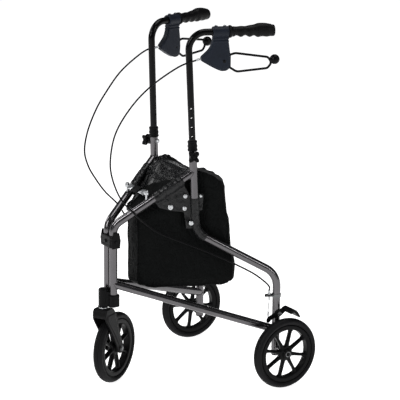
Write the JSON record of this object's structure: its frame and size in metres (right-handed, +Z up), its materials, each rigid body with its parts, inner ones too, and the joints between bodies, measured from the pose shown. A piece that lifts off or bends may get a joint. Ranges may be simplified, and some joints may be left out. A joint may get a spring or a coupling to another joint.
{
  "type": "three-wheel rollator walker",
  "caption": "Folding three-wheel walking frame with telescoping handles, looped brake levers, cable brakes, a steering caster and a fabric tote bag.",
  "frame": {"origin": "on the floor, under the middle of the whole object", "axes": "+Z up; the walker faces -Y, with its single front wheel at -Y; +X is the walker's left side"},
  "size_m": [0.5354, 0.5894, 1.0103],
  "materials": {
    "frame_paint": "glossy metallic pewter paint",
    "handle_paint": "gloss black",
    "lever_coat": "black plastic-coated wire",
    "black_plastic": "fine-grained black moulding",
    "wheel_plastic": "black moulding, satin",
    "bright_steel": "zinc-plated",
    "grip_rubber": "soft matt",
    "tyre": "matt",
    "cable_cover": "black sheath",
    "bag_fabric": "coated black woven nylon, slight sheen"
  },
  "bodies": {
    "front_hub": {"upper_bracket": "black_plastic", "lower_bracket": "black_plastic", "tote_bag": "bag_fabric", "bag_lid": "bag_fabric"},
    "left_frame": {"left_front_tube": "frame_paint", "left_rear_tube": "frame_paint", "left_lower_rail": "frame_paint", "left_collar": "black_plastic", "left_collar_nut": "bright_steel", "left_brake_cable": "cable_cover", "left_cable_ferrule": "bright_steel", "left_cable_bracket": "black_plastic", "left_brake_wire": "bright_steel", "left_pedal_pin": "bright_steel", "left_rear_axle": "bright_steel", "left_link_pin": "bright_steel", "left_bag_wing": "bag_fabric"},
    "left_knob_body": {"left_knob": "black_plastic"},
    "left_handle": {"left_handle_tube": "handle_paint", "left_grip": "grip_rubber", "left_brake_housing": "black_plastic", "left_lever_pin": "bright_steel", "left_cable_adjuster": "bright_steel"},
    "left_lever": {"left_brake_lever": "lever_coat"},
    "left_pedal": {"left_brake_pedal": "black_plastic"},
    "left_wheel": {"left_wheel_rim": "wheel_plastic", "left_tyre": "tyre"},
    "left_clevis": {"left_link_clevis": "bright_steel"},
    "left_link": {"left_fold_link": "bright_steel", "pull_strap": "bag_fabric"},
    "right_frame": {"right_front_tube": "frame_paint", "right_rear_tube": "frame_paint", "right_lower_rail": "frame_paint", "right_collar": "black_plastic", "right_collar_nut": "bright_steel", "right_brake_cable": "cable_cover", "right_cable_ferrule": "bright_steel", "right_cable_bracket": "black_plastic", "right_brake_wire": "bright_steel", "right_pedal_pin": "bright_steel", "right_rear_axle": "bright_steel", "right_link_pin": "bright_steel", "right_bag_wing": "bag_fabric"},
    "right_knob_body": {"right_knob": "black_plastic"},
    "right_handle": {"right_handle_tube": "handle_paint", "right_grip": "grip_rubber", "right_brake_housing": "black_plastic", "right_lever_pin": "bright_steel", "right_cable_adjuster": "bright_steel"},
    "right_lever": {"right_brake_lever": "lever_coat"},
    "right_pedal": {"right_brake_pedal": "black_plastic"},
    "right_wheel": {"right_wheel_rim": "wheel_plastic", "right_tyre": "tyre"},
    "right_clevis": {"right_link_clevis": "bright_steel"},
    "right_link": {"right_fold_link": "bright_steel"},
    "caster": {"caster_fork": "black_plastic", "caster_washer": "bright_steel", "front_axle": "bright_steel"},
    "front_wheel": {"front_wheel_rim": "wheel_plastic", "front_tyre": "tyre"}
  },
  "joints": [
    {"name": "left_fold", "type": "hinge", "parent": "front_hub", "child": "left_frame", "pos_m": [0.0156, -0.2181, 0.35], "axis": [0, 0, 1], "range_deg": [0, 19], "deforming": ["tote_bag", "bag_lid", "pull_strap"]},
    {"name": "left_height", "type": "slide", "parent": "left_frame", "child": "left_handle", "axis": [-0.0188, -0.0419, 0.9989], "range_m": [-0.1016, 0.0254], "deforming": ["left_brake_cable"]},
    {"name": "left_knob_turn", "type": "hinge", "parent": "left_frame", "child": "left_knob_body", "pos_m": [0.12649, -0.03189, 0.657], "axis": [0.9125, -0.4091, 0], "continuous": true},
    {"name": "left_lever_squeeze", "type": "hinge", "parent": "left_handle", "child": "left_lever", "pos_m": [0.12762, 0.05761, 0.911], "axis": [0.9513, -0.3082, 0], "range_deg": [0, 14], "stiffness_Nm_per_rad": 0.6, "springref_deg": -14.32},
    {"name": "left_brake_press", "type": "hinge", "parent": "left_frame", "child": "left_pedal", "pos_m": [0.21469, 0.1947, 0.205], "axis": [-1, 0, 0], "range_deg": [0, 10], "deforming": ["left_brake_wire"]},
    {"name": "left_wheel_spin", "type": "hinge", "parent": "left_frame", "child": "left_wheel", "pos_m": [0.24769, 0.1947, 0.1], "axis": [1, 0, 0], "continuous": true},
    {"name": "left_link_swivel", "type": "hinge", "parent": "left_frame", "child": "left_clevis", "pos_m": [0.05242, -0.13598, 0.553], "axis": [0, 0, 1], "range_deg": [-19, 0]},
    {"name": "left_link_hinge", "type": "hinge", "parent": "left_clevis", "child": "left_link", "pos_m": [0.04042, -0.13598, 0.553], "axis": [0, 0.832, 0.5548], "range_deg": [0, 73]},
    {"name": "right_fold", "type": "hinge", "parent": "front_hub", "child": "right_frame", "pos_m": [-0.0156, -0.2181, 0.35], "axis": [0, 0, 1], "range_deg": [-19, 0]},
    {"name": "right_height", "type": "slide", "parent": "right_frame", "child": "right_handle", "axis": [0.0188, -0.0419, 0.9989], "range_m": [-0.1016, 0.0254], "deforming": ["right_brake_cable"]},
    {"name": "right_knob_turn", "type": "hinge", "parent": "right_frame", "child": "right_knob_body", "pos_m": [-0.12649, -0.03189, 0.657], "axis": [-0.9125, -0.4091, 0], "continuous": true},
    {"name": "right_lever_squeeze", "type": "hinge", "parent": "right_handle", "child": "right_lever", "pos_m": [-0.12762, 0.05761, 0.911], "axis": [0.9513, 0.3082, 0], "range_deg": [0, 14], "stiffness_Nm_per_rad": 0.6, "springref_deg": -14.32},
    {"name": "right_brake_press", "type": "hinge", "parent": "right_frame", "child": "right_pedal", "pos_m": [-0.21469, 0.1947, 0.205], "axis": [-1, 0, 0], "range_deg": [0, 10], "deforming": ["right_brake_wire"]},
    {"name": "right_wheel_spin", "type": "hinge", "parent": "right_frame", "child": "right_wheel", "pos_m": [-0.24769, 0.1947, 0.1], "axis": [1, 0, 0], "continuous": true},
    {"name": "right_link_swivel", "type": "hinge", "parent": "right_frame", "child": "right_clevis", "pos_m": [-0.05242, -0.13598, 0.553], "axis": [0, 0, 1], "range_deg": [0, 19]},
    {"name": "right_link_hinge", "type": "hinge", "parent": "right_clevis", "child": "right_link", "pos_m": [-0.04042, -0.13598, 0.553], "axis": [0, 0.832, 0.5548], "range_deg": [-73, 0]},
    {"name": "caster_swivel", "type": "hinge", "parent": "front_hub", "child": "caster", "pos_m": [0, -0.2414, 0.232], "axis": [0, 0, 1], "continuous": true},
    {"name": "front_wheel_spin", "type": "hinge", "parent": "caster", "child": "front_wheel", "pos_m": [-0.03099, -0.19002, 0.1], "axis": [0.8563, 0.5165, 0], "continuous": true}
  ],
  "couplings": [
    {"joint": "left_brake_press", "follows": "left_lever_squeeze", "ratio": 0.7},
    {"joint": "right_brake_press", "follows": "right_lever_squeeze", "ratio": 0.7},
    {"joint": "right_fold", "follows": "left_fold", "ratio": -1},
    {"joint": "left_link_swivel", "follows": "left_fold", "ratio": -1},
    {"joint": "right_link_swivel", "follows": "left_fold", "ratio": 1},
    {"joint": "left_link_hinge", "follows": "left_fold", "ratio": 3.84},
    {"joint": "right_link_hinge", "follows": "left_fold", "ratio": -3.84}
  ]
}
